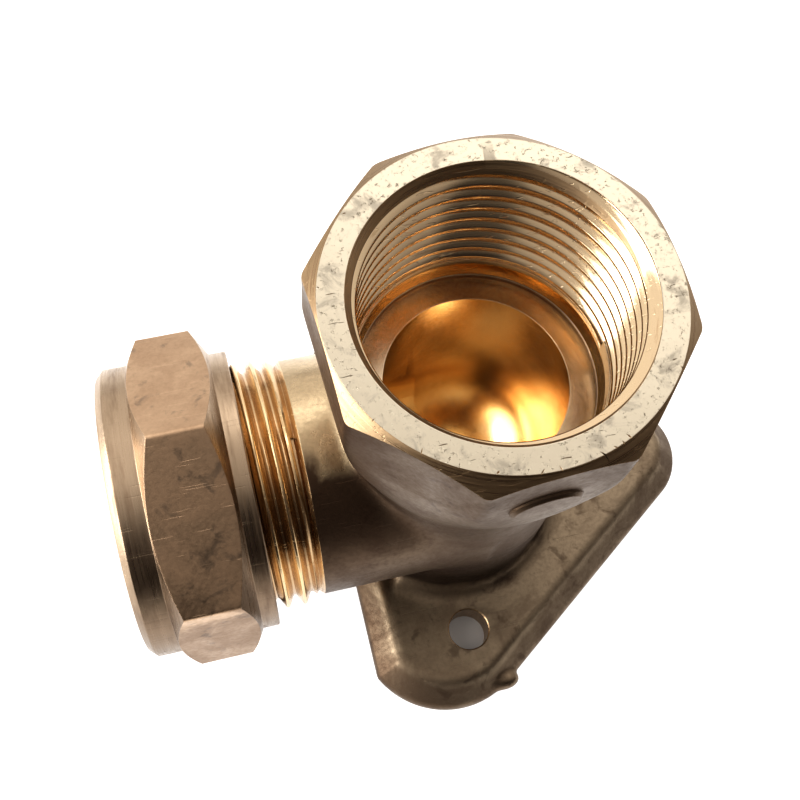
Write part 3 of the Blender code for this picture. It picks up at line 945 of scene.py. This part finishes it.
def make_nut():
    blank_r = NUT_CORNER_R + 0.5
    slope = math.tan(math.radians(30.0))
    outer_drop = (blank_r - NUT_COLLAR_R) * slope
    inner_drop = (blank_r - NUT_RING_R) * slope
    profile = [
        (0.0, NUT_OUTER_REACH, 0.0, NUT_TURNED),
        (NUT_COLLAR_R - 0.75, NUT_OUTER_REACH, 0.2, NUT_TURNED),
        (NUT_COLLAR_R, NUT_OUTER_REACH - 0.75, 0.3, NUT_TURNED),
        (NUT_COLLAR_R, NUT_HEX_OUTER_REACH, 0.12, NUT_TURNED),
        (blank_r, NUT_HEX_OUTER_REACH - outer_drop, 0.0, NUT_TURNED),
        (blank_r, NUT_HEX_INNER_REACH + inner_drop, 0.0, NUT_TURNED),
        (NUT_RING_R, NUT_HEX_INNER_REACH, 0.12, NUT_TURNED),
        (NUT_RING_R, NUT_INNER_REACH, 0.25, NUT_TURNED),
        (0.0, NUT_INNER_REACH, 0.0, NUT_TURNED),
    ]
    nut = turned("nut_shell", profile, OUTLET_PLACE)
    prism = hexagon("nut_prism", NUT_CORNER_R * math.cos(math.pi / 6.0), 0.5, NUT_INNER_REACH - 1.0,
                    NUT_OUTER_REACH + 1.0, NUT_FIRST_CORNER_DEG, NUT_SKIN, OUTLET_PLACE)
    combine(nut, [prism], "INTERSECT")
    relief_reach = NUT_INNER_REACH + 8.2
    cone_reach = NUT_OUTER_REACH - 1.75
    bore = turned("nut_bore", [
        (0.0, NUT_OUTER_REACH + 1.0, 0.0, NUT_TURNED),
        (NUT_HOLE_R + 1.2, NUT_OUTER_REACH + 1.0, 0.0, NUT_TURNED),
        (NUT_HOLE_R, NUT_OUTER_REACH - 0.2, 0.0, NUT_TURNED),
        (NUT_HOLE_R, cone_reach, 0.0, NUT_TURNED),
        (THREAD_MAJOR_R + 0.25, cone_reach - 2.2, 0.0, NUT_TURNED),
        (THREAD_MAJOR_R + 0.25, relief_reach, 0.0, NUT_TURNED),
        (THREAD_MINOR_R - 0.3, relief_reach - 0.5, 0.0, NUT_TURNED),
        (THREAD_MINOR_R - 0.3, NUT_INNER_REACH - 1.0, 0.0, NUT_TURNED),
        (0.0, NUT_INNER_REACH - 1.0, 0.0, NUT_TURNED),
    ], OUTLET_PLACE)
    inner = threaded("nut_thread", nut_thread_radius, NUT_INNER_REACH - 3.2, relief_reach + 1.2,
                     MALE_PHASE_REACH, NUT_TURNED, OUTLET_PLACE)
    combine(nut, [bore, inner], "DIFFERENCE")
    return smooth(nut)


def make_olive():
    inner_reach, outer_reach = -OLIVE_HIGH.x, -OLIVE_LOW.x
    crown = THREAD_MINOR_R - 0.12
    profile = [
        (11.5, outer_reach, 0.0, OLIVE_METAL),
        (11.65, outer_reach - 0.6, 0.4, OLIVE_METAL),
        (crown, outer_reach - 2.4, 1.2, OLIVE_METAL),
        (crown, inner_reach + 2.4, 1.2, OLIVE_METAL),
        (11.65, inner_reach + 0.6, 0.4, OLIVE_METAL),
        (11.5, inner_reach, 0.0, OLIVE_METAL),
        (11.05, inner_reach, 0.1, OLIVE_METAL),
        (11.05, outer_reach, 0.1, OLIVE_METAL),
    ]
    return smooth(turned("olive_ring", profile, OUTLET_PLACE))


# ---------------------------------------------------------------- stage

CAMERA_SPOT = (-23.9, -38.66, 136.45)
CAMERA_TURN_DEG = (22.304, -3.803, -13.768)
SENSOR_WIDTH = 36.0
LENS = 51.74
ROOM_BRIGHT_SIDE = (0.0, 0.88, 0.47)
ROOM_DARKEST = -0.6
ROOM_LIGHT = ((0.0, (0.04, 0.033, 0.03)), (0.25, (0.14, 0.12, 0.11)), (0.5, (0.55, 0.52, 0.49)),
              (0.9, (1.0, 0.95, 0.9)))
# A dark patch of the room, which the socket's thread reflects: its direction, edge and light.
DARK_CORNER = (0.09, -0.62, 0.78)
DARK_CORNER_EDGE = (0.93, 0.975)
DARK_CORNER_LIGHT = (1.0, 0.25)
FLOOR_HEIGHT = -0.02
# The floor glows, though it is no lamp: a painted pool of light of this strength, centred and stretched so
# that it fades away beyond the elbow.
FLOOR_GLOW = 0.8
FLOOR_GLOW_CENTRE = (5.0, 25.0, 0.0)
FLOOR_GLOW_SHAPE = (0.6, 1.0, 1.0)
FLOOR_GLOW_REACH = (80.0, 150.0)


def make_floor():
    half_size = 900.0
    steps = 12
    marks = np.linspace(-half_size, half_size, steps)
    points = [(x, y, FLOOR_HEIGHT) for x in marks for y in marks]
    faces = [(i * steps + j, (i + 1) * steps + j, (i + 1) * steps + j + 1, i * steps + j + 1)
             for i in range(steps - 1) for j in range(steps - 1)]
    add_mesh("floor", points, faces, [glowing_floor_paint()])


def add_light(name, spot, target, size, power, colour):
    """A soft rectangular studio light, in millimetres, turned towards a target."""
    data = bpy.data.lights.new(name, "AREA")
    data.shape = "RECTANGLE"
    data.size, data.size_y = size[0] * MM, size[1] * MM
    data.energy = power
    data.color = colour
    light = bpy.data.objects.new(name, data)
    bpy.context.scene.collection.objects.link(light)
    light.location = Vector(spot) * MM
    light.rotation_euler = (Vector(target) - Vector(spot)).to_track_quat("-Z", "Y").to_euler()


def make_world():
    """A plain studio room: bright above and on the +Y side, dim on the -Y side."""
    world = bpy.data.worlds.new("studio")
    bpy.context.scene.world = world
    world.use_nodes = True
    tree = world.node_tree
    place = tree.nodes.new("ShaderNodeTexCoord").outputs["Generated"]
    dot = tree.nodes.new("ShaderNodeVectorMath")
    dot.operation = "DOT_PRODUCT"
    dot.inputs[1].default_value = Vector(ROOM_BRIGHT_SIDE).normalized()
    tree.links.new(place, dot.inputs[0])
    share = tree.nodes.new("ShaderNodeMapRange")
    share.inputs["From Min"].default_value = ROOM_DARKEST
    tree.links.new(dot.outputs["Value"], share.inputs["Value"])
    ramp = tree.nodes.new("ShaderNodeValToRGB")
    tree.links.new(share.outputs["Result"], ramp.inputs[0])
    stops = ramp.color_ramp.elements
    stops.remove(stops[0])
    for position, _ in ROOM_LIGHT[1:]:
        stops.new(position)
    for stop, (position, colour) in zip(stops, ROOM_LIGHT):
        stop.position, stop.color = position, (*colour, 1.0)
    tree.links.new(ramp.outputs[0], tree.nodes["Background"].inputs["Color"])
    spot = tree.nodes.new("ShaderNodeVectorMath")
    spot.operation = "DOT_PRODUCT"
    spot.inputs[1].default_value = Vector(DARK_CORNER).normalized()
    tree.links.new(place, spot.inputs[0])
    shade = tree.nodes.new("ShaderNodeMapRange")
    shade.interpolation_type = "SMOOTHSTEP"
    for index, number in enumerate(DARK_CORNER_EDGE + DARK_CORNER_LIGHT):
        shade.inputs[index + 1].default_value = number
    tree.links.new(spot.outputs["Value"], shade.inputs[0])
    tree.links.new(shade.outputs["Result"], tree.nodes["Background"].inputs["Strength"])


def make_camera():
    data = bpy.data.cameras.new("camera")
    data.sensor_width = SENSOR_WIDTH
    data.lens = LENS
    data.clip_start, data.clip_end = 1.0 * MM, 5.0
    camera = bpy.data.objects.new("camera", data)
    bpy.context.scene.collection.objects.link(camera)
    camera.location = Vector(CAMERA_SPOT) * MM
    camera.rotation_euler = Euler([math.radians(angle) for angle in CAMERA_TURN_DEG], "XYZ")
    bpy.context.scene.camera = camera


def make_stage():
    make_floor()
    add_light("overhead", (120.0, 200.0, 310.0), (0.0, 0.0, 20.0), (380.0, 180.0), 0.2, (1.0, 0.98, 0.95))
    add_light("skylight", (-270.0, 75.0, 375.0), (0.0, 0.0, 40.0), (170.0, 170.0), 0.36, (1.0, 0.99, 0.97))
    add_light("window", (-400.0, 20.0, 125.0), (0.0, 0.0, 30.0), (380.0, 250.0), 1.8, (1.0, 0.99, 0.97))
    make_world()
    make_camera()
    bpy.context.scene.view_settings.view_transform = "Standard"
    bpy.context.scene.view_settings.look = "Medium High Contrast"


# ---------------------------------------------------------------- main

def main():
    for item, body, node, slot in (
        (make_body(), "elbow", "body", "forged_brass"),
        (make_nut(), "nut", "compression_nut", "turned_brass"),
        (make_olive(), "olive_carrier", "olive", "olive_brass"),
    ):
        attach(item, body)
        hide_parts(node)
    make_stage()


main()
